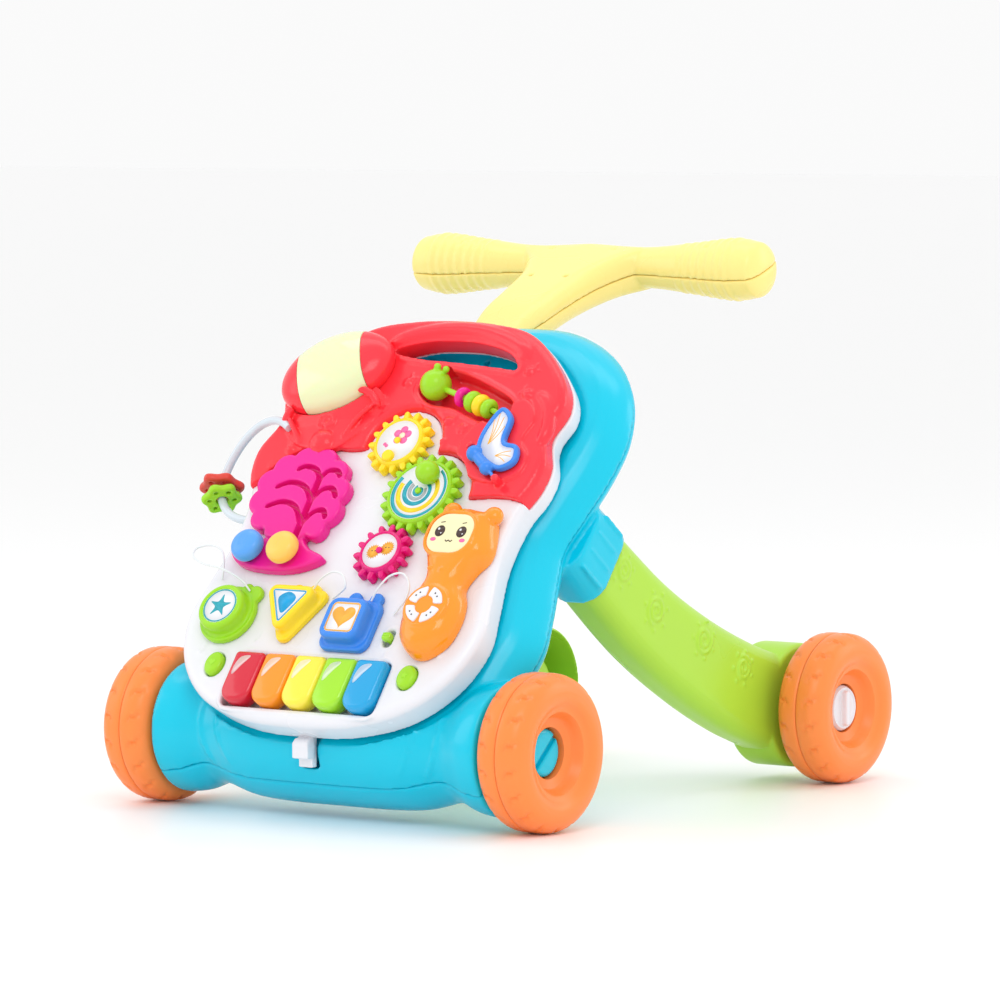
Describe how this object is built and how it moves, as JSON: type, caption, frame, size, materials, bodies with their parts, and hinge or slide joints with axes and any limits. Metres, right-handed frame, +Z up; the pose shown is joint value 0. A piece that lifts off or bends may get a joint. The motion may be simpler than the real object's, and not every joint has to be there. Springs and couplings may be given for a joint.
{
  "type": "baby walker",
  "caption": "Push-along baby walker: rounded plastic chassis on wheels, rear legs, T-shaped push handle and a detachable sloping activity panel with gears, keys, blocks, phone and bead maze.",
  "frame": {"origin": "centre of the footprint of the bounding box, on the floor", "axes": "+Z up, the activity panel faces -Y, +X to the right of a viewer who faces the panel"},
  "size_m": [0.4036, 0.5398, 0.4375],
  "materials": {
    "cyan_shell": "glossy",
    "orange_wheel": "glossy",
    "cream_yellow_handle": "glossy",
    "lime_leg": "satin",
    "white_shell": "glossy",
    "red_cover": "glossy",
    "magenta_tree": "glossy",
    "magenta_gear": "glossy",
    "yellow_toy": "glossy",
    "lime_toy": "glossy",
    "orange_phone": "glossy",
    "cream_face": "glossy",
    "blue_toy": "glossy",
    "sky_slider": "glossy",
    "peach_slider": "glossy",
    "key_red": "glossy",
    "key_orange": "glossy",
    "key_yellow": "glossy",
    "key_green": "glossy",
    "key_blue": "glossy",
    "cream_lens": "glossy, slightly translucent",
    "pale_bar": "glossy",
    "clear_tie": "satin nylon",
    "ring_red": "glossy",
    "green_board": "satin laminate",
    "dark_speaker": "matte"
  },
  "bodies": {
    "chassis": {"chassis_front_shell": "cyan_shell", "chassis_rear_cover": "cyan_shell", "handle_upper_shell": "cream_yellow_handle", "handle_lower_shell": "cream_yellow_handle", "leg_right": "lime_leg", "leg_left": "lime_leg", "front_axle_pin_right": "cyan_shell", "front_axle_pin_left": "cyan_shell"},
    "panel": {"panel_tray": "white_shell", "panel_back_cover": "white_shell", "battery_door": "white_shell", "circuit_board": "green_board", "speaker": "dark_speaker", "panel_top_cover": "red_cover", "lamp_cap": "red_cover", "lamp_lens": "cream_lens", "tree_maze": "magenta_tree", "bead_bug_head": "lime_toy", "bead_rod": "lime_toy", "side_arc_bar": "pale_bar"},
    "front_wheel_right": {"front_wheel_right_outer_half": "orange_wheel", "front_wheel_right_inner_half": "orange_wheel"},
    "front_wheel_left": {"front_wheel_left_outer_half": "orange_wheel", "front_wheel_left_inner_half": "orange_wheel"},
    "rear_wheel_right": {"rear_wheel_right_outer_half": "orange_wheel", "rear_wheel_right_inner_half": "orange_wheel"},
    "rear_wheel_left": {"rear_wheel_left_outer_half": "orange_wheel", "rear_wheel_left_inner_half": "orange_wheel"},
    "rear_knob_right": {"rear_axle_knob_right": "white_shell"},
    "rear_knob_left": {"rear_axle_knob_left": "white_shell"},
    "latch": {"panel_latch": "white_shell"},
    "gear_green": {"gear_green": "lime_toy"},
    "gear_yellow": {"gear_yellow": "yellow_toy"},
    "gear_magenta": {"gear_magenta": "magenta_gear"},
    "key_red": {"key_red": "key_red"},
    "key_orange": {"key_orange": "key_orange"},
    "key_yellow": {"key_yellow": "key_yellow"},
    "key_green": {"key_green": "key_green"},
    "key_blue": {"key_blue": "key_blue"},
    "block_circle": {"block_circle": "lime_toy", "tie_circle": "clear_tie"},
    "block_triangle": {"block_triangle": "yellow_toy", "tie_triangle": "clear_tie"},
    "block_square": {"block_square": "blue_toy", "tie_square": "clear_tie"},
    "phone": {"phone_body": "orange_phone", "phone_face": "cream_face", "phone_keypad": "white_shell"},
    "button_left": {"button_left": "lime_toy"},
    "button_right": {"button_right": "lime_toy"},
    "power_switch": {"power_switch": "key_green"},
    "butterfly": {"butterfly": "blue_toy"},
    "maze_slider_yellow": {"maze_slider_yellow": "peach_slider"},
    "maze_slider_blue": {"maze_slider_blue": "sky_slider"},
    "bead_magenta": {"bead_magenta": "magenta_tree"},
    "bead_green": {"bead_green": "lime_toy"},
    "bead_yellow": {"bead_yellow": "yellow_toy"},
    "bead_tail_green": {"bead_tail_green": "lime_toy"},
    "ring_red": {"ring_red": "ring_red"},
    "ring_green": {"ring_green": "lime_toy"}
  },
  "joints": [
    {"name": "front_wheel_right_spin", "type": "hinge", "parent": "chassis", "child": "front_wheel_right", "pos_m": [0.1796, -0.19657, 0.06], "axis": [1, 0, 0], "continuous": true},
    {"name": "front_wheel_left_spin", "type": "hinge", "parent": "chassis", "child": "front_wheel_left", "pos_m": [-0.1796, -0.19657, 0.06], "axis": [1, 0, 0], "continuous": true},
    {"name": "rear_wheel_right_spin", "type": "hinge", "parent": "chassis", "child": "rear_wheel_right", "pos_m": [0.1796, 0.20993, 0.06], "axis": [1, 0, 0], "continuous": true},
    {"name": "rear_wheel_left_spin", "type": "hinge", "parent": "chassis", "child": "rear_wheel_left", "pos_m": [-0.1796, 0.20993, 0.06], "axis": [1, 0, 0], "continuous": true},
    {"name": "rear_knob_right_turn", "type": "hinge", "parent": "chassis", "child": "rear_knob_right", "pos_m": [0.15, 0.20993, 0.06], "axis": [1, 0, 0], "range_deg": [0, 90]},
    {"name": "rear_knob_left_turn", "type": "hinge", "parent": "chassis", "child": "rear_knob_left", "pos_m": [-0.15, 0.20993, 0.06], "axis": [1, 0, 0], "range_deg": [0, 90]},
    {"name": "panel_lift_out", "type": "slide", "parent": "chassis", "child": "panel", "axis": [0, -0.809, 0.5878], "range_m": [0, 0.12]},
    {"name": "latch_press", "type": "slide", "parent": "chassis", "child": "latch", "axis": [0, 0, 1], "range_m": [-0.004, 0]},
    {"name": "gear_green_spin", "type": "hinge", "parent": "panel", "child": "gear_green", "pos_m": [0.0395, -0.15654, 0.2453], "axis": [0, -0.809, 0.5878], "continuous": true},
    {"name": "gear_yellow_spin", "type": "hinge", "parent": "panel", "child": "gear_yellow", "pos_m": [0.00006, -0.13043, 0.28124], "axis": [0, -0.809, 0.5878], "continuous": true},
    {"name": "gear_magenta_spin", "type": "hinge", "parent": "panel", "child": "gear_magenta", "pos_m": [0.02631, -0.18859, 0.20119], "axis": [0, -0.809, 0.5878], "continuous": true},
    {"name": "key_red_press", "type": "hinge", "parent": "panel", "child": "key_red", "pos_m": [-0.058, -0.23486, 0.1205], "axis": [1, 0, 0], "range_deg": [0, 3.5], "stiffness_Nm_per_rad": 0.05, "springref_deg": -11.46},
    {"name": "key_orange_press", "type": "hinge", "parent": "panel", "child": "key_orange", "pos_m": [-0.029, -0.23486, 0.1205], "axis": [1, 0, 0], "range_deg": [0, 3.5], "stiffness_Nm_per_rad": 0.05, "springref_deg": -11.46},
    {"name": "key_yellow_press", "type": "hinge", "parent": "panel", "child": "key_yellow", "pos_m": [0, -0.23486, 0.1205], "axis": [1, 0, 0], "range_deg": [0, 3.5], "stiffness_Nm_per_rad": 0.05, "springref_deg": -11.46},
    {"name": "key_green_press", "type": "hinge", "parent": "panel", "child": "key_green", "pos_m": [0.029, -0.23486, 0.1205], "axis": [1, 0, 0], "range_deg": [0, 3.5], "stiffness_Nm_per_rad": 0.05, "springref_deg": -11.46},
    {"name": "key_blue_press", "type": "hinge", "parent": "panel", "child": "key_blue", "pos_m": [0.058, -0.23486, 0.1205], "axis": [1, 0, 0], "range_deg": [0, 3.5], "stiffness_Nm_per_rad": 0.05, "springref_deg": -11.46},
    {"name": "block_circle_lift", "type": "slide", "parent": "panel", "child": "block_circle", "axis": [0, -0.809, 0.5878], "range_m": [0, 0.05]},
    {"name": "block_triangle_lift", "type": "slide", "parent": "panel", "child": "block_triangle", "axis": [0, -0.809, 0.5878], "range_m": [0, 0.05]},
    {"name": "block_square_lift", "type": "slide", "parent": "panel", "child": "block_square", "axis": [0, -0.809, 0.5878], "range_m": [0, 0.05]},
    {"name": "phone_lift", "type": "slide", "parent": "panel", "child": "phone", "axis": [0, -0.809, 0.5878], "range_m": [0, 0.06]},
    {"name": "button_left_press", "type": "slide", "parent": "panel", "child": "button_left", "axis": [0, -0.809, 0.5878], "range_m": [-0.002, 0], "stiffness_N_per_m": 200, "springref_m": 0.004},
    {"name": "button_right_press", "type": "slide", "parent": "panel", "child": "button_right", "axis": [0, -0.809, 0.5878], "range_m": [-0.002, 0], "stiffness_N_per_m": 200, "springref_m": 0.004},
    {"name": "power_switch_slide", "type": "slide", "parent": "panel", "child": "power_switch", "axis": [0, 0.5878, 0.809], "range_m": [-0.003, 0.003]},
    {"name": "butterfly_flap", "type": "hinge", "parent": "panel", "child": "butterfly", "pos_m": [0.08, -0.143, 0.27687], "axis": [0.8, -0.3527, -0.4854], "range_deg": [0, 100]},
    {"name": "maze_slider_yellow_slide", "type": "slide", "parent": "panel", "child": "maze_slider_yellow", "axis": [0, 0.5878, 0.809], "range_m": [0, 0.06]},
    {"name": "maze_slider_blue_slide", "type": "slide", "parent": "panel", "child": "maze_slider_blue", "axis": [0, 0.5878, 0.809], "range_m": [0, 0.014]},
    {"name": "bead_magenta_slide", "type": "slide", "parent": "panel", "child": "bead_magenta", "axis": [0.948, -0.1871, -0.2575], "range_m": [-0.013, 0.004]},
    {"name": "bead_green_spin", "type": "hinge", "parent": "panel", "child": "bead_green", "pos_m": [0.05287, -0.10852, 0.3148], "axis": [0.948, -0.1871, -0.2575], "continuous": true},
    {"name": "bead_yellow_spin", "type": "hinge", "parent": "panel", "child": "bead_yellow", "pos_m": [0.06178, -0.11028, 0.31238], "axis": [0.948, -0.1871, -0.2575], "continuous": true},
    {"name": "bead_tail_green_slide", "type": "slide", "parent": "panel", "child": "bead_tail_green", "axis": [0.948, -0.1871, -0.2575], "range_m": [0, 0.005]},
    {"name": "ring_red_slide", "type": "hinge", "parent": "panel", "child": "ring_red", "pos_m": [-0.135, -0.12802, 0.25054], "axis": [0, -0.809, 0.5878], "range_deg": [-15, 3]},
    {"name": "ring_green_slide", "type": "hinge", "parent": "panel", "child": "ring_green", "pos_m": [-0.135, -0.12802, 0.25054], "axis": [0, -0.809, 0.5878], "range_deg": [-3, 30]}
  ],
  "couplings": [
    {"joint": "gear_yellow_spin", "follows": "gear_green_spin", "ratio": -1.25},
    {"joint": "gear_magenta_spin", "follows": "gear_green_spin", "ratio": -1.4286}
  ]
}
